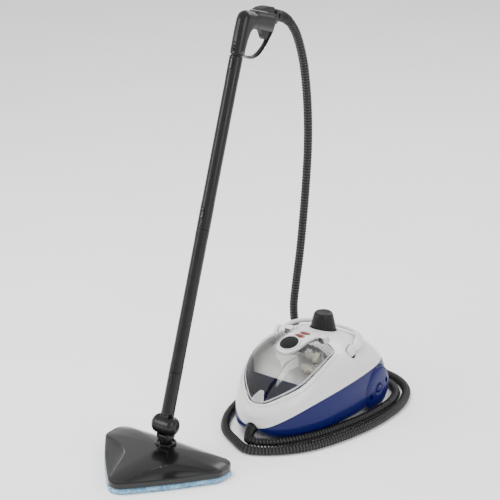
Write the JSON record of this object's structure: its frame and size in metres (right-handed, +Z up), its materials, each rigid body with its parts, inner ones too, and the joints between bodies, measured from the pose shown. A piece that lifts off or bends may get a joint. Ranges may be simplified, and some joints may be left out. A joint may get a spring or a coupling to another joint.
{
  "type": "steam mop",
  "caption": "Canister steam mop: wheeled boiler body with clear-lidded compartment, long hose, jointed wand with trigger handle and triangular mop head.",
  "frame": {"origin": "on the floor under the mop head, on the swivel axis of its neck", "axes": "+Z up; the point of the mop head and the nose of the canister face -Y; +X is the side of the hose elbow"},
  "size_m": [0.4837, 0.8985, 1.0168],
  "materials": {
    "white_gloss": "smooth white gloss",
    "blue_gloss": "deep royal blue gloss",
    "navy_plastic": "dark navy moulding",
    "black_gloss": "gloss black",
    "black_satin": "satin black",
    "black_matt": "matt black",
    "tube_black": "fine-grained black",
    "smoked_clear": "clear lightly smoked polycarbonate",
    "red_lens": "translucent dull red",
    "hose_rubber": "black corrugated",
    "microfibre": "pale blue microfibre pile",
    "ivory_plastic": "off-white",
    "steel": "plain steel",
    "brass": "plain brass",
    "copper": "copper tube"
  },
  "bodies": {
    "canister": {"upper_shell": "white_gloss", "lower_shell": "blue_gloss", "switch_bezel": "white_gloss", "indicator_lens_front": "red_lens", "indicator_lens_rear": "red_lens", "lid_hinge_pin_left": "steel", "lid_hinge_pin_right": "steel", "compartment_tray": "navy_plastic", "compartment_bulkhead": "white_gloss", "stored_jet_nozzle": "ivory_plastic", "stored_brush": "ivory_plastic", "boiler_lower": "steel", "boiler_upper": "steel", "filler_neck": "brass", "filler_well": "white_gloss", "heating_element": "steel", "thermostat": "brass", "solenoid_valve": "brass", "nose_steam_pipe": "copper", "handle_pivot_left": "white_gloss", "handle_pivot_right": "white_gloss", "base_plate": "black_matt", "rear_axle": "steel", "hose_socket": "black_satin", "hose_elbow": "black_satin", "hose_floor_loop": "hose_rubber", "hose_rise": "hose_rubber", "head_neck": "tube_black", "joint_cap_left": "tube_black", "joint_cap_right": "tube_black", "joint_pin": "steel"},
    "lid": {"clear_lid": "smoked_clear"},
    "latch": {"lid_latch": "smoked_clear"},
    "cap_seal": {"cap_plug": "brass"},
    "cap": {"cap_knob": "black_satin"},
    "switch": {"power_button": "black_satin"},
    "handle_bail": {"carry_handle": "white_gloss"},
    "wheel_right": {"rear_wheel_right": "blue_gloss", "hub_cap_right": "blue_gloss"},
    "wheel_left": {"rear_wheel_left": "blue_gloss", "hub_cap_left": "blue_gloss"},
    "caster": {"caster_fork": "black_matt"},
    "caster_roller": {"caster_wheel": "black_matt"},
    "wand": {"wand_knuckle": "tube_black", "lower_tube": "tube_black", "upper_tube": "tube_black", "handle_spigot": "black_matt", "handle_right_shell": "tube_black", "handle_left_shell": "tube_black", "handle_valve": "brass", "hose_cuff": "black_matt"},
    "foot_button": {"lower_lock_button": "black_gloss"},
    "middle_button": {"middle_lock_button": "black_gloss"},
    "top_button": {"upper_lock_button": "black_gloss"},
    "steam_trigger": {"trigger": "black_satin"},
    "thumb_lock": {"steam_lock": "black_satin"},
    "mop_head": {"mop_pad": "microfibre", "head_sole": "black_matt", "head_cover": "black_gloss"}
  },
  "joints": [
    {"name": "wand_tilt", "type": "hinge", "parent": "canister", "child": "wand", "pos_m": [0, 0, 0.095], "axis": [-1, 0, 0], "range_deg": [-15, 20], "deforming": ["hose_rise"]},
    {"name": "head_swivel", "type": "hinge", "parent": "canister", "child": "mop_head", "pos_m": [0, 0, 0], "axis": [0, 0, 1], "range_deg": [-90, 90]},
    {"name": "lid_open", "type": "hinge", "parent": "canister", "child": "lid", "pos_m": [0.114, 0.4185, 0.2085], "axis": [-1, 0, 0], "range_deg": [0, 75]},
    {"name": "latch_flex", "type": "hinge", "parent": "lid", "child": "latch", "pos_m": [0.114, 0.2262, 0.1275], "axis": [-1, 0, 0], "range_deg": [0, 12], "stiffness_Nm_per_rad": 0.3, "springref_deg": -2.86},
    {"name": "cap_lift", "type": "slide", "parent": "canister", "child": "cap_seal", "axis": [0, 0, 1], "range_m": [0, 0.0076]},
    {"name": "cap_turn", "type": "hinge", "parent": "cap_seal", "child": "cap", "pos_m": [0.114, 0.487, 0.21], "axis": [0, 0, 1], "range_deg": [0, 1080]},
    {"name": "power_press", "type": "slide", "parent": "canister", "child": "switch", "axis": [0, 0.2588, -0.9659], "range_m": [0, 0.0035], "stiffness_N_per_m": 400, "springref_m": -0.002},
    {"name": "handle_swing", "type": "hinge", "parent": "canister", "child": "handle_bail", "pos_m": [0.114, 0.45, 0.1735], "axis": [1, 0, 0], "range_deg": [0, 80]},
    {"name": "wheel_right_spin", "type": "hinge", "parent": "canister", "child": "wheel_right", "pos_m": [0.114, 0.519, 0.0572], "axis": [1, 0, 0], "continuous": true},
    {"name": "wheel_left_spin", "type": "hinge", "parent": "canister", "child": "wheel_left", "pos_m": [0.114, 0.519, 0.0572], "axis": [1, 0, 0], "continuous": true},
    {"name": "caster_swivel", "type": "hinge", "parent": "canister", "child": "caster", "pos_m": [0.114, 0.265, 0.02], "axis": [0, 0, 1], "continuous": true},
    {"name": "caster_roll", "type": "hinge", "parent": "caster", "child": "caster_roller", "pos_m": [0.114, 0.275, 0.0098], "axis": [1, 0, 0], "continuous": true},
    {"name": "foot_button_press", "type": "slide", "parent": "wand", "child": "foot_button", "axis": [0, 0.9449, -0.3272], "range_m": [0, 0.0025], "stiffness_N_per_m": 300, "springref_m": -0.0015},
    {"name": "middle_button_press", "type": "slide", "parent": "wand", "child": "middle_button", "axis": [0, 0.9449, -0.3272], "range_m": [0, 0.0025], "stiffness_N_per_m": 300, "springref_m": -0.0015},
    {"name": "top_button_press", "type": "slide", "parent": "wand", "child": "top_button", "axis": [0, 0.9449, -0.3272], "range_m": [0, 0.0025], "stiffness_N_per_m": 300, "springref_m": -0.0015},
    {"name": "trigger_pull", "type": "hinge", "parent": "wand", "child": "steam_trigger", "pos_m": [0, 0.36844, 0.968], "axis": [1, 0, 0], "range_deg": [0, 12], "stiffness_Nm_per_rad": 0.8, "springref_deg": -6.88},
    {"name": "thumb_lock_slide", "type": "slide", "parent": "wand", "child": "thumb_lock", "axis": [0, -0.9449, 0.3272], "range_m": [0, 0.003]}
  ],
  "couplings": [
    {"joint": "cap_lift", "follows": "cap_turn", "m_per_rad": 0.000398}
  ]
}
